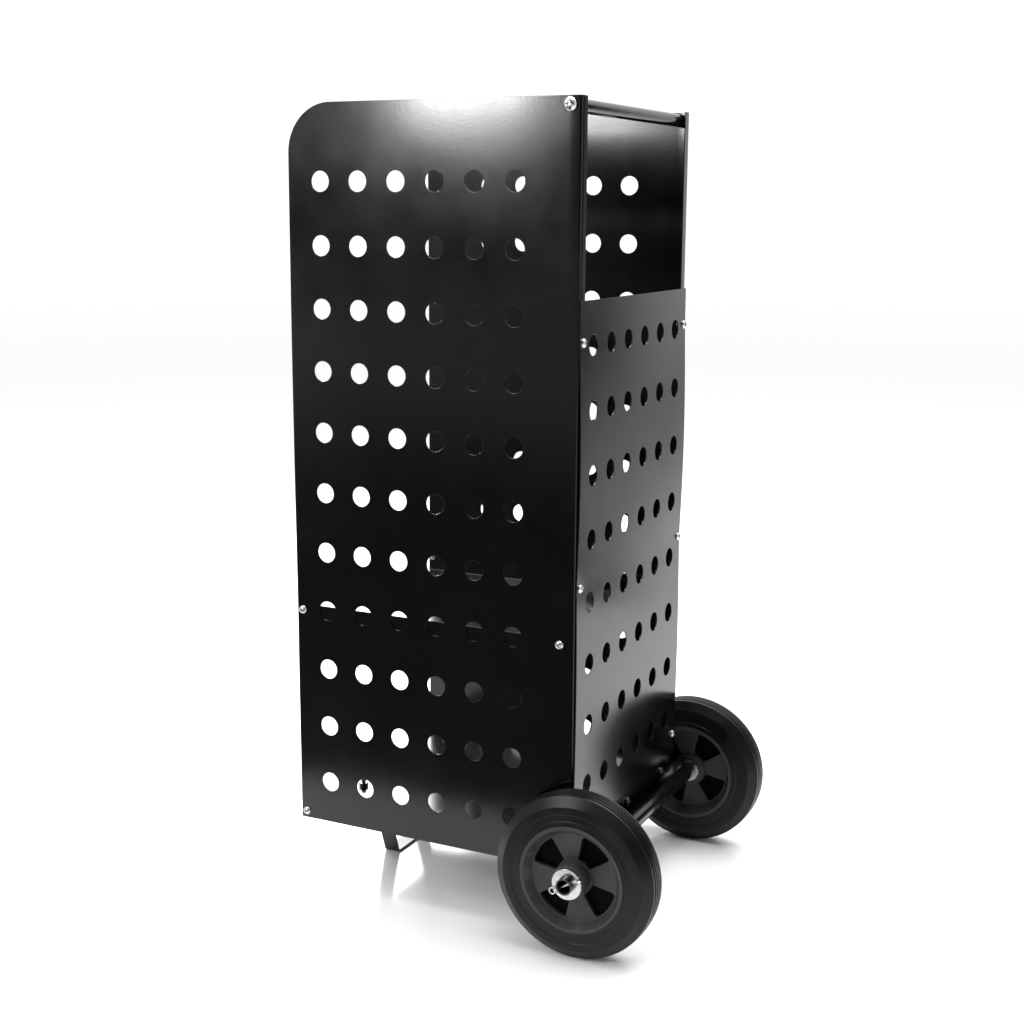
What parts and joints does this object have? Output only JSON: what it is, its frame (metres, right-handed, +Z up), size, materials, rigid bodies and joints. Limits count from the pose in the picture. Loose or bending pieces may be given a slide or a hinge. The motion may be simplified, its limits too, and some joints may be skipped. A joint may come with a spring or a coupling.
{
  "type": "two-wheeled perforated steel cart",
  "caption": "Upright two-wheeled cart of perforated black sheet steel, open at front and top, with two shelves, a tube handle, a strap foot and solid rubber tyres on plastic hubs.",
  "frame": {"origin": "on the floor under the middle of the overall length and width", "axes": "+Z up; the open front faces -Y, the wheels and handle are at +Y; +X is the right-hand side seen from the open front"},
  "size_m": [0.4768, 0.5005, 0.983],
  "materials": {
    "black_powder_coat": "semi-gloss powder coat with fine orange peel",
    "black_gloss_tube": "gloss black stoved paint",
    "black_bracket": "semi-gloss black powder coat",
    "black_bolt": "black oxide pan heads",
    "zinc": "bright zinc plated",
    "pin_steel": "plain drawn wire",
    "hub_plastic": "moulded warm grey plastic",
    "hub_disc_black": "moulded matt black",
    "tyre_rubber": "solid black rubber, moulded",
    "bearing_plastic": "natural nylon",
    "bearing_steel": "ground rollers"
  },
  "bodies": {
    "cart_frame": {"side_panel_right": "black_powder_coat", "side_panel_left": "black_powder_coat", "back_panel": "black_powder_coat", "middle_shelf": "black_powder_coat", "bottom_shelf": "black_powder_coat", "handle_tube": "black_gloss_tube", "axle_tube": "black_gloss_tube", "front_foot": "black_bracket", "axle_carrier": "black_bracket", "carrier_bolts": "black_bolt", "handle_plugs": "zinc", "handle_screws": "zinc", "shelf_screws": "zinc", "shelf_nuts": "zinc", "back_panel_screws": "zinc", "back_panel_nuts": "zinc", "foot_bolts": "zinc", "foot_nuts": "zinc", "carrier_nuts": "zinc", "axle_washers": "zinc", "axle_collars": "zinc", "split_pins": "pin_steel"},
    "wheel_right": {"wheel_hub_right": "hub_plastic", "hub_disc_right": "hub_disc_black", "tyre_right": "tyre_rubber", "bearing_cage_right": "bearing_plastic", "bearing_rollers_right": "bearing_steel"},
    "wheel_left": {"wheel_hub_left": "hub_plastic", "hub_disc_left": "hub_disc_black", "tyre_left": "tyre_rubber", "bearing_cage_left": "bearing_plastic", "bearing_rollers_left": "bearing_steel"}
  },
  "joints": [
    {"name": "wheel_right_spin", "type": "hinge", "parent": "cart_frame", "child": "wheel_right", "pos_m": [0.196, 0.15025, 0.1], "axis": [1, 0, 0], "continuous": true},
    {"name": "wheel_left_spin", "type": "hinge", "parent": "cart_frame", "child": "wheel_left", "pos_m": [-0.196, 0.15025, 0.1], "axis": [1, 0, 0], "continuous": true}
  ]
}
